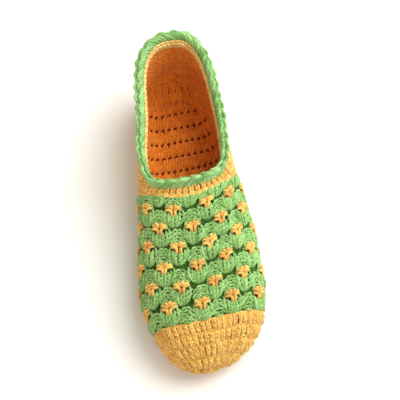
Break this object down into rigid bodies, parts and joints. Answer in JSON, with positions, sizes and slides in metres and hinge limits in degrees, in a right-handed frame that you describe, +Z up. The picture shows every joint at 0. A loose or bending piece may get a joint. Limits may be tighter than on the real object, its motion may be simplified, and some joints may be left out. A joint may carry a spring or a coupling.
{
  "type": "crocheted slipper",
  "caption": "Crocheted slip-on house slipper for the left foot, with a closed toe, a shell-stitch vamp, an open collar with scalloped edging and a soft crocheted sole.",
  "frame": {"origin": "on the floor, under the middle of the shoe's bounding box", "axes": "+Y from toe to heel, along the shoe; +X to the outer side of the left foot; +Z up"},
  "size_m": [0.0944, 0.26, 0.0781],
  "materials": {
    "gold_yarn": "matt crocheted yarn, golden yellow",
    "green_yarn": "matt crocheted yarn, leaf green"
  },
  "bodies": {
    "root": {"sole": "gold_yarn", "toe_cap": "gold_yarn", "vamp": "green_yarn", "heel_and_sides": "gold_yarn", "collar_edging": "green_yarn"}
  },
  "joints": []
}
